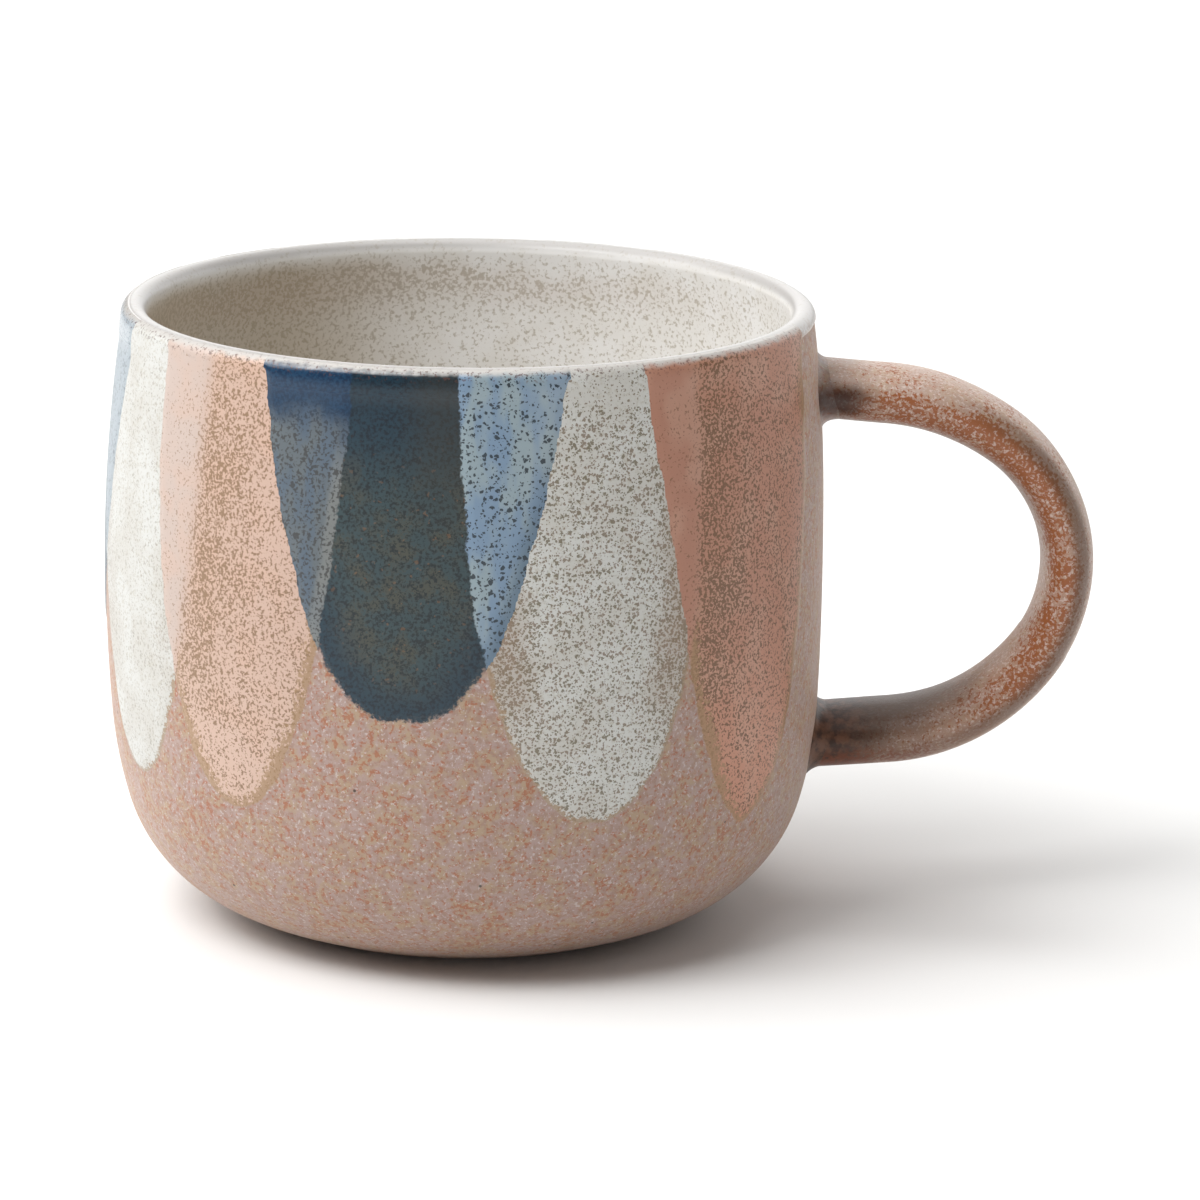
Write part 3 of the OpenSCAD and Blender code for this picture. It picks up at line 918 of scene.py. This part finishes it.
def white_glaze():
    """White strokes: brown specks, crowded and browner towards the sides."""
    s = Shader("white_glaze")
    edge, drop, depth = s.field("edge"), drop_field(s), s.field("depth")
    slow = tone(s, 6.0, 0.21)
    sides = s.times(s.step(edge, 7.5, 2.5), s.step(drop, 5.0, 14.0))
    sides = s.times(sides, s.step(drop, 50.0, 32.0))
    calm = s.math("MAXIMUM", s.step(drop, 8.0, 2.0), s.rest(depth))
    large = s.scaled(slow, 0.20, s.scaled(calm, -0.16, 0.33))
    small = s.scaled(sides, 0.24, s.scaled(calm, -0.12, 0.28))
    dots = specks(s, 0.52, 0.61)
    speck = s.math("MAXIMUM", s.less(dots, large), s.less(specks(s, 0.36, 0.87), small))
    body = s.mix(s.step(slow, -0.12, 0.12), WHITE_COOL, WHITE_WARM)
    body = s.mix(s.step(s.noise(0.5, 2.0, 0.6, seed=0.15), 0.5, 0.7), body, WHITE_CLOUD)
    ink = s.mix(s.step(s.noise(1.4, 1.0, 0.5, seed=0.35), 0.4, 0.6), WHITE_OLIVE_INK, WHITE_BROWN_INK)
    share = s.scaled(depth, 0.54, 0.26)
    colour = s.mix(s.times(speck, share), body, ink)
    colour = s.mix(s.times(s.times(sides, depth), 0.45), colour, WHITE_SIDE)
    colour = stroke_edge(s, colour, 0.4, WHITE_EDGE, 0.8, 0.12)
    colour = lip_fade(s, colour, drop)
    return s.finish(colour, 0.42, 0.5, s.bump(dots, 0.03, 0.4))


# pink glaze, thin and full, on clay and over white
PINK_THIN = srgb(203, 186, 173)
PINK_FULL = srgb(195, 139, 114)
PINK_THIN_OVER = srgb(198, 196, 190)
PINK_FULL_OVER = srgb(186, 132, 109)
PINK_DUSK = srgb(131, 93, 77)
PINK_CLOUD = srgb(200, 164, 143)
PINK_THIN_INK = srgb(138, 110, 79)
PINK_FULL_INK = srgb(102, 70, 44)
PINK_OLIVE = srgb(149, 117, 79)
PINK_EDGE = srgb(153, 122, 86)


def pink_glaze():
    """Pink strokes: worm-shaped brown specks, paler and calmer over white."""
    s = Shader("pink_glaze")
    drop, on_white, depth = drop_field(s), s.field("on_white"), s.field("depth")
    slow = tone(s, 6.0, 0.21)
    over_white = s.step(s.scaled(slow, 3.0, on_white), -1.2, 1.8)
    off_white = s.rest(over_white)
    beside = s.times(s.step(on_white, -13.0, -1.5), off_white)
    beside = s.times(beside, s.step(drop, 56.0, 40.0))
    worm = s.noise(0.36, 2.0, 0.55, seed=0.23, warp=0.4)
    level = s.scaled(slow, 0.14, worm)
    level = s.scaled(beside, 0.06, level)
    level = s.scaled(over_white, -0.055, level)
    level = s.scaled(s.step(drop, 9.0, 2.0), -0.04, level)
    high = s.times(s.step(drop, 52.0, 30.0), depth)
    level = s.scaled(s.times(high, off_white), 0.02, level)
    speck = s.step(level, 0.54, 0.59)
    plain = s.mix(depth, PINK_THIN, PINK_FULL)
    over = s.mix(depth, PINK_THIN_OVER, PINK_FULL_OVER)
    body = s.mix(over_white, plain, over)
    body = s.mix(s.times(high, 0.3), body, PINK_DUSK)
    body = s.mix(s.times(s.step(slow, -0.05, 0.15), 0.3), body, PINK_CLOUD)
    ink = s.mix(depth, PINK_THIN_INK, PINK_FULL_INK)
    colour = s.mix(s.times(speck, s.scaled(over_white, -0.25, 0.85)), body, ink)
    colour = s.mix(s.times(beside, 0.08), colour, PINK_OLIVE)
    colour = stroke_edge(s, colour, 1.1, PINK_EDGE, 0.75, 0.2)
    colour = lip_fade(s, colour, drop)
    return s.finish(colour, 0.42, 0.5, s.bump(worm, 0.03, 0.5))


# blue glaze on clay, over white and over pink
BLUE_GREEN = srgb(49, 67, 71)
BLUE_BROWN = srgb(67, 69, 60)
BLUE_RIM = srgb(24, 50, 64)
BLUE_RIM_INK = srgb(11, 26, 38)
BLUE_INK = srgb(26, 35, 39)
BLUE_TOP = srgb(21, 39, 52)
BLUE_OLIVE = srgb(60, 57, 47)
BLUE_RUST = srgb(117, 84, 57)
SKY_STREAK = srgb(117, 140, 163)
SKY_PALE = srgb(139, 155, 162)
SKY_RIM = srgb(86, 109, 130)
SKY_MILK = srgb(158, 168, 172)
SKY_INK = srgb(35, 43, 50)
SLATE_STREAK = srgb(82, 96, 110)
SLATE_PALE = srgb(92, 100, 105)
SLATE_STRIP = srgb(133, 134, 129)
SLATE_INK = srgb(54, 53, 52)
NAVY_LIGHT = srgb(26, 58, 86)
NAVY_DARK = srgb(15, 42, 68)
THIN_BLUE = srgb(129, 139, 146)
THIN_SKY = srgb(164, 172, 178)
THIN_INK = srgb(82, 91, 98)
BLUE_EDGE = srgb(49, 61, 69)


def blue_glaze():
    """Blue strokes: nearly black on clay, pale over white and slate over pink."""
    s = Shader("blue_glaze")
    edge, drop = s.field("edge"), drop_field(s)
    on_white, on_pink, depth = s.field("on_white"), s.field("on_pink"), s.field("depth")
    ragged = tone(s, 0.6, 0.73)
    over_white = s.step(s.scaled(ragged, 0.9, on_white), -0.15, 0.15)
    over_pink = s.step(s.scaled(ragged, 0.9, on_pink), -0.15, 0.15)
    slow = tone(s, 6.0, 0.21)
    fine = s.noise(0.42, 3.0, 0.68, seed=0.91)
    pool_at = s.scaled(slow, 9.0, drop)
    # on bare clay: dark blue-green, browner in the middle, bluer at the rim of the stroke
    middle = s.times(s.step(edge, 1.0, 7.0), s.step(drop, 6.0, 18.0))
    earth = s.mix(s.step(s.scaled(tone(s, 4.0, 0.39), 1.2, fine), 0.38, 0.62),
                  BLUE_GREEN, BLUE_BROWN)
    bare = s.mix(middle, BLUE_RIM, earth)
    bare = s.mix(s.step(fine, 0.46, 0.60), bare, s.mix(middle, BLUE_RIM_INK, BLUE_INK))
    bare = s.mix(s.times(s.step(pool_at, 7.0, 1.5), 0.4), bare, BLUE_TOP)
    olive = s.times(s.step(on_white, -9.0, -2.0), s.step(drop, 24.0, 8.0))
    bare = s.mix(s.times(olive, 0.4), bare, BLUE_OLIVE)
    rust = s.times(s.less(specks(s, 0.9, 0.45), 0.10), middle)
    bare = s.mix(s.times(rust, 0.5), bare, BLUE_RUST)
    # over white: pale blue with streaks and round dark specks
    streak = s.swing(2.4, seed=0.19, stretch=(1, 1, 0.3))
    pale = s.mix(s.step(streak, -0.12, 0.10), SKY_STREAK, SKY_PALE)
    rim = s.times(s.step(edge, 2.6, 0.3), s.step(drop, 6.0, 22.0))
    pale = s.mix(s.times(rim, 0.8), pale, SKY_RIM)
    milky = s.times(s.step(edge, 6.0, 1.0), s.step(drop, 18.0, 7.0))
    pale = s.mix(s.times(milky, 0.3), pale, SKY_MILK)
    large = s.scaled(slow, 0.14, s.scaled(s.step(drop, 5.0, 1.5), -0.1, 0.27))
    dots = s.math("MAXIMUM", s.less(specks(s, 0.70, 0.61), large), s.less(specks(s, 0.44, 0.87), 0.20))
    pale = s.mix(s.times(dots, 0.92), pale, SKY_INK)
    # over pink: grey blue with brown specks, and a navy pool below the lip
    strip = s.times(s.step(on_pink, 2.0, 0.7), s.step(drop, 8.0, 14.0))
    mauve = s.mix(s.step(streak, -0.10, 0.10), SLATE_STREAK, SLATE_PALE)
    mauve = s.mix(s.times(strip, 0.55), mauve, SLATE_STRIP)
    worm = s.noise(0.42, 2.0, 0.55, seed=0.23, warp=0.4)
    mauve = s.mix(s.times(s.step(worm, 0.52, 0.58), 0.8), mauve, SLATE_INK)
    navy = s.mix(s.step(fine, 0.4, 0.6), NAVY_LIGHT, NAVY_DARK)
    mauve = s.mix(s.step(pool_at, 9.5, 4.0), mauve, navy)
    light = s.mix(over_white, THIN_BLUE, THIN_SKY)
    light = s.mix(s.times(dots, 0.5), light, THIN_INK)
    colour = s.mix(over_white, bare, pale)
    colour = s.mix(over_pink, colour, mauve)
    colour = s.mix(s.times(s.rest(depth), 1.2, clamp=True), colour, light)
    colour = stroke_edge(s, colour, 0.6, BLUE_EDGE, 0.6, 0.55)
    colour = lip_fade(s, colour, drop)
    gloss = s.blend(s.step(drop, 6.0, 2.0), 0.42, 0.22)
    return s.finish(colour, gloss, 0.5, s.bump(fine, 0.03, 0.5))


# glaze inside the cup
INSIDE_COOL = srgb(240, 239, 237)
INSIDE_WARM = srgb(235, 233, 229)
INSIDE_LIP = srgb(180, 177, 174)
INSIDE_LEFT_TINT_AND_SHADE = srgb(180, 166, 145)
INSIDE_INK = srgb(142, 126, 96)
INSIDE_BAND = srgb(170, 138, 108)
INSIDE_WORN = srgb(160, 138, 124)


def inside_glaze():
    """Off-white liner: fine brown specks, darker to the left and in a band below the lip; to the left
    the darkening is partly denser specks and partly painted shade.
    """
    s = Shader("inside_glaze")
    drop = drop_field(s)
    x = s.axes()[0]
    fine = s.noise(0.50, 2.5, 0.6, seed=0.43, warp=0.3)
    slow = tone(s, 7.0, 0.72)
    wander = s.scaled(slow, 6.0, drop)
    # left inside wall: a browner tint and denser specks, partly real and partly painted shade where
    # the lip shadows it
    left_tint_and_shade = s.step(x, 0.0, -27.0 * MM)
    lip = s.step(drop, 3.5, 0.8)
    left_tint_and_shade = s.times(left_tint_and_shade, s.rest(lip))
    band = s.times(s.step(wander, 2.0, 5.0), s.step(wander, 11.0, 6.0))
    band = s.times(band, s.step(x, 44.0 * MM, 10.0 * MM))
    level = s.scaled(band, 0.06, s.scaled(slow, 0.08, fine))
    level = s.scaled(lip, -0.03, s.scaled(left_tint_and_shade, 0.04, level))
    speck = s.step(level, 0.53, 0.65)
    body = s.mix(s.step(slow, -0.1, 0.1), INSIDE_COOL, INSIDE_WARM)
    body = s.mix(s.step(drop, 1.5, 0.5), body, INSIDE_LIP)
    body = s.mix(s.times(left_tint_and_shade, 0.85), body, INSIDE_LEFT_TINT_AND_SHADE)
    share = s.scaled(lip, -0.2, 0.5)
    colour = s.mix(s.times(speck, share), body, INSIDE_INK)
    colour = s.mix(s.times(band, 0.16), colour, INSIDE_BAND)
    across = s.node("ShaderNodeVectorMath", operation="LENGTH")
    flat = s.node("ShaderNodeVectorMath", operation="MULTIPLY")
    s.feed(flat.inputs[0], s.place)
    flat.inputs[1].default_value = (1, 1, 0)
    s.feed(across.inputs[0], flat.outputs[0])
    outside = s.step(across.outputs["Value"], (LIP_C[0] + 0.5) * MM, (LIP_C[0] + 1.2) * MM)
    worn = s.scaled(s.math("SUBTRACT", fine, 0.5), 3.0, drop)
    thin = s.times(outside, s.step(worn, 0.4, 1.4))
    thin = s.times(thin, s.step(x, 10.0 * MM, 34.0 * MM))
    colour = s.mix(s.times(thin, 0.7), colour, INSIDE_WORN)
    return s.finish(colour, 0.3, 0.5, s.bump(fine, 0.02, 0.4))


# ---------------- pieces
clay = stoneware()
clay_on_handle = stoneware("stoneware_handle", handle_stain_and_shade)
clay_at_joint = stoneware("stoneware_joint", joint_stain_and_shadow)
glazes = {"white": white_glaze(), "pink": pink_glaze(), "blue": blue_glaze()}
liner_glaze = inside_glaze()


def dress(piece, material, slot, *nodes):
    """Gives a piece its material and its place in the record."""
    piece.data.materials.append(material)
    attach(piece, "root")
    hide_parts(*nodes)
    for n in nodes:
        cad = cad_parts[n]
        cad.data.materials.clear()
        cad.data.materials.append(material)


dress(build_body(), clay, "stoneware", "clay_body")
dress(build_liner(), liner_glaze, "liner_glaze", "liner_glaze")
dress(build_handle(), clay_on_handle, "stoneware", "handle")
path, heading = handle_path()
thick, wide = handle_sizes(heading)
UPPER_Z, UPPER_SLOPE = 67.8, -0.075  # centre of each joint, and the handle's slope there
LOWER_Z, LOWER_SLOPE = 22.4, 0.072
upper_slip = build_slip("mug_upper_slip", UPPER_Z, UPPER_SLOPE, thick[0], wide[0], 61)
lower_slip = build_slip("mug_lower_slip", LOWER_Z, LOWER_SLOPE, thick[-1], wide[-1], 62)
dress(upper_slip, clay_at_joint, "slip", "upper_slip_joint")
dress(lower_slip, clay_at_joint, "slip", "lower_slip_joint")
for stroke_name, stroke in STROKES.items():
    dress(build_stroke(stroke_name), glazes[stroke.kind], stroke.kind + "_glaze", stroke_name)

# ---------------- stage
FLOOR_HALF, FLOOR_COLOUR = 3000.0, srgb(238, 238, 237)
corners = [(x * FLOOR_HALF, y * FLOOR_HALF, 0) for x, y in ((-1, -1), (1, -1), (1, 1), (-1, 1))]
floor = make_mesh("floor", corners, [np.array([[0, 1, 2, 3]])])
floor.data.materials.append(Shader("floor").finish(FLOOR_COLOUR, roughness=0.9, specular=0.0))

WORLD_STRENGTH = 0.20
world = bpy.data.worlds.new("studio")
scene.world = world
world.use_nodes = True
world.node_tree.nodes["Background"].inputs[0].default_value = (1, 1, 1, 1)
world.node_tree.nodes["Background"].inputs[1].default_value = WORLD_STRENGTH

LIGHT_AIM = Vector((0, 0, 40.0))


def aimed(name, data, azimuth, elevation, distance):
    """Places a light by its angle round the mug and its height, facing the mug."""
    o = bpy.data.objects.new(name, data)
    scene.collection.objects.link(o)
    a, e = rad(azimuth), rad(elevation)
    towards = Vector((math.sin(a) * math.cos(e), -math.cos(a) * math.cos(e), math.sin(e)))
    o.matrix_world = (Matrix.Translation((LIGHT_AIM + towards * distance) * MM)
                      @ towards.to_track_quat("Z", "Y").to_matrix().to_4x4())


def softbox(name, azimuth, elevation, distance, width, height, watts):
    """A rectangular light panel."""
    data = bpy.data.lights.new(name, "AREA")
    data.shape = "RECTANGLE"
    data.size, data.size_y = width * MM, height * MM
    data.energy = watts
    aimed(name, data, azimuth, elevation, distance)


def ceiling(name, azimuth, elevation, spread, strength):
    """Broad even light from above, as from a white ceiling."""
    data = bpy.data.lights.new(name, "SUN")
    data.angle = rad(spread)
    data.energy = strength
    aimed(name, data, azimuth, elevation, distance=1500)


ceiling("ceiling", azimuth=-105, elevation=70, spread=75, strength=2.3)
softbox("top", azimuth=-48, elevation=54, distance=900, width=480, height=400, watts=3.4)
softbox("key", azimuth=-84, elevation=36, distance=1000, width=700, height=500, watts=4.3)
softbox("backdrop", azimuth=150, elevation=20, distance=1300, width=2200, height=800, watts=8.0)

scene.view_settings.view_transform = "Standard"
scene.view_settings.look = "None"
scene.view_settings.exposure = 0.0
